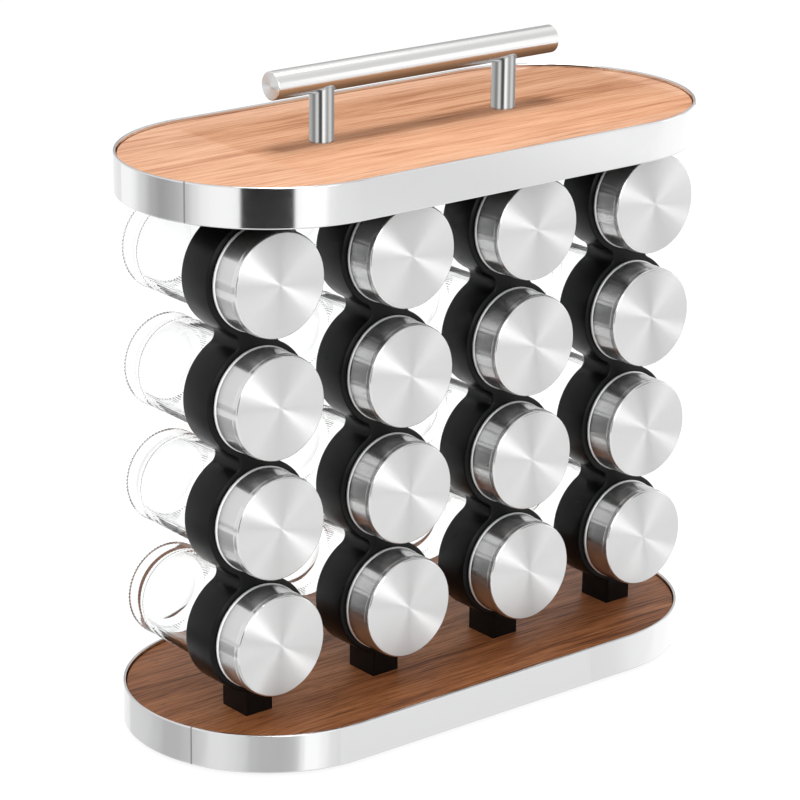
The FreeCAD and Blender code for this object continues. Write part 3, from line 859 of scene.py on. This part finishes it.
def sleeve(post, shades):
    """A striped card rolled loosely round a post, which paints the post's reflection in stripes; each shade
    is given where it shows across the post.
    """
    low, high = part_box(post)
    thick = (high.x - low.x) / 2
    rungs = []
    for across, level in shades:
        out = math.radians(front_turn) + math.asin(across)
        away = 2 * out - math.radians(front_turn)
        start = Vector((math.sin(out), -math.cos(out), 0)) * thick
        ahead = Vector((math.sin(away), -math.cos(away), 0))
        lead = start.dot(ahead)
        spot = start + ahead * (math.sqrt(lead ** 2 + (thick + sleeve_gap) ** 2 - thick ** 2) - lead)
        foot = spot + Vector(((low.x + high.x) / 2, (low.y + high.y) / 2, low.z + sleeve_foot))
        rise = Vector((0, 0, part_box("handle_bar")[0].z - low.z + sleeve_overlap))
        rungs.append((foot, foot + rise, level))
    shaded_card(post + " sleeve", rungs)


band_bend = (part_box("top_band")[1].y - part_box("top_band")[0].y) / 2
stage_sheet("floor", (12.0, 12.0), Matrix.Identity(4), lit_paper("floor paper", (0.9, 0.9, 0.9), 0.65))
# painted reflections and highlights: dark, grey and bright cards that light nothing, set for the main view
upright("side flag", (28, 50), 1.1, (0.25, 1.2), 0.05)
upright("bar white", (15, 63), 0.25, (0.262, 0.381), 1.40)
upright("bar grey", (15, 80), 0.25, (0.381, 0.600), 0.88)
upright("rear flag", (120, 165), 1.0, (0.35, 1.0), 0.55)
upright("front highlight card", (-14, 12), 1.3, (0.0, 0.32), 2.4)
upright("right highlight card", (56, 80), 1.2, (0.05, 0.32), 2.0)
upright("left highlight card", (-108, -66), 1.0, (0.1, 0.8), 1.25)
lying("left sheet", (-0.20, 0.05), (-0.38, 0.25), 0.22, 0.50)
# painted reflections for the bands: each sheet's brightness is what that part of the bend shows
shaded_floor("near shades", (0.0030, 0.0800), near_shade_height, (
    (-107, 0.92), (-96, 0.92), (-87, 0.81), (-81, 0.67), (-75, 0.67), (-71, 0.73), (-66, 0.84),
    (-60, 1.08), (-56, 1.09), (-52, 1.03), (-48, 0.94), (-44, 0.73), (-40, 0.67), (-33, 0.66),
    (-29, 0.71), (-27, 0.82), (-25, 1.16), (-23, 1.46), (-19, 1.46), (-17, 1.35), (-13, 1.12),
    (-9, 1.03)))
shaded_floor("far shades", (0.6500, 1.9000), far_shade_height, (
    (-105, 1.32), (-97, 1.36), (-90, 0.97), (-84, 0.62), (-79, 0.49), (-74, 0.56), (-69.5, 0.67),
    (-65.5, 1.03), (-61.5, 1.26), (-57.5, 1.36), (-53, 1.40), (-47, 1.36), (-46.2, 0.02),
    (-27.4, 0.02), (-26.8, 1.48), (-21, 1.60), (-16.5, 1.55), (-14, 1.20), (-10, 1.10)))
# a black card seen only by the steel, a painted dark patch on the top band's left bend
shaded_card("bend flag", [
    ((x, y, 0.0), (x, y, 0.8), 0.0) for x, y in ((-1.69, -1.15), (-0.67, -1.88))])
# painted reflections for the bands' right bend and their right-hand straight
shaded_card("right near shades", [
    ((x, y, near_shade_height), (far_x, far_y, near_shade_height), level)
    for x, y, far_x, far_y, level in (
        (0.056, -0.066, 0.108, -0.126, 1.06), (0.070, -0.066, 0.122, -0.126, 1.09),
        (0.081, -0.066, 0.135, -0.124, 1.24), (0.096, -0.062, 0.170, -0.083, 1.40),
        (0.112, -0.0545, 0.188, -0.0375, 1.36), (0.124, -0.043, 0.180, 0.0094, 1.20))])
shaded_card("right far shades", [
    ((x, y, far_shade_height), (far_x, far_y, far_shade_height), level)
    for x, y, far_x, far_y, level in (
        (0.440, -0.62, 0.440, -0.95, 1.08), (0.478, -0.62, 0.478, -0.95, 1.06),
        (0.561, -0.62, 0.561, -0.95, 1.03), (0.607, -0.62, 0.607, -0.95, 1.06),
        (0.650, -0.62, 0.650, -0.95, 1.13), (0.690, -0.62, 0.690, -0.95, 1.26),
        (0.730, -0.62, 0.730, -0.95, 1.46), (0.850, -0.25, 1.200, -0.42, 1.46),
        (0.870, 0.15, 1.250, 0.22, 1.46), (0.700, 0.50, 0.950, 0.78, 1.40))])
# painted reflections: the stripes that each post shows from the main view
for post in ("handle_post_left", "handle_post_right"):
    sleeve(post, (
        (-0.98, 0.60), (-0.80, 0.55), (-0.60, 0.28), (-0.52, 0.34), (-0.36, 0.86), (-0.28, 0.84),
        (-0.15, 0.14), (-0.04, 0.07), (0.03, 0.12), (0.14, 1.20), (0.24, 1.22), (0.38, 0.60),
        (0.50, 0.42), (0.60, 0.74), (0.72, 0.88), (0.84, 0.40), (0.93, 0.32), (0.98, 0.55)))
# a brown card that only the steel sees: the painted reflection of the oak shaded under the bar
shade_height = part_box("top_panel")[1].z + handle_shade_lift
shaded_card("handle shade", [
    ((-0.085, back, shade_height), (0.130, back, shade_height), level) for back, level in (
        (-0.048, 0.58), (-0.036, 0.54), (-0.022, 0.44), (-0.010, 0.27), (0.012, 0.18), (0.052, 0.16))
], (1.0, 0.52, 0.28))

world = bpy.data.worlds.new("studio")
bpy.context.scene.world = world
world.use_nodes = True
tree = world.node_tree
sky = tree.nodes["Background"]
sky.inputs["Color"].default_value = (1.0, 1.0, 1.0, 1.0)
sky.inputs["Strength"].default_value = 0.41
white = node(tree, "ShaderNodeBackground", {"Color": (1.0, 1.0, 1.0, 1.0), "Strength": 1.0})
mixed = node(tree, "ShaderNodeMixShader", {0: straight(tree), 1: sky.outputs[0], 2: white.outputs[0]})
tree.links.new(mixed.outputs[0], tree.nodes["World Output"].inputs["Surface"])


def soft_light(name, place, target, size, power):
    """A square soft box that points at a target."""
    light = bpy.data.lights.new(name, "AREA")
    light.shape = "SQUARE"
    light.size = size
    light.energy = power
    lamp = bpy.data.objects.new(name, light)
    lamp.location = place
    lamp.rotation_euler = (Vector(target) - Vector(place)).to_track_quat("-Z", "Y").to_euler()
    bpy.context.scene.collection.objects.link(lamp)


soft_light("overhead lamp", (0.0, 0.03, 1.2), (0.0, 0.0, 0.2), 0.40, 6.1)
soft_light("front lamp", (-0.5, -1.2, 0.6), (0.0, 0.0, 0.12), 0.6, 5.2)

camera_turn = math.radians(-39.0)
camera_rise = math.radians(18.83)
camera_roll = math.radians(0.56)
camera_target = Vector((-0.0403, -0.0421, 0.1488))
camera_distance = 1.3413
backward = Vector((
    math.sin(camera_turn) * math.cos(camera_rise), -math.cos(camera_turn) * math.cos(camera_rise),
    math.sin(camera_rise)))
camera = bpy.data.objects.new("camera", bpy.data.cameras.new("camera"))
camera.data.lens = 144.42
camera.data.sensor_width = 36.0
aim = (-backward).to_track_quat("-Z", "Y").to_matrix() @ Matrix.Rotation(camera_roll, 3, "Z")
camera.matrix_world = Matrix.Translation(camera_target + backward * camera_distance) @ aim.to_4x4()
bpy.context.scene.collection.objects.link(camera)
bpy.context.scene.camera = camera
bpy.context.scene.view_settings.view_transform = "Standard"
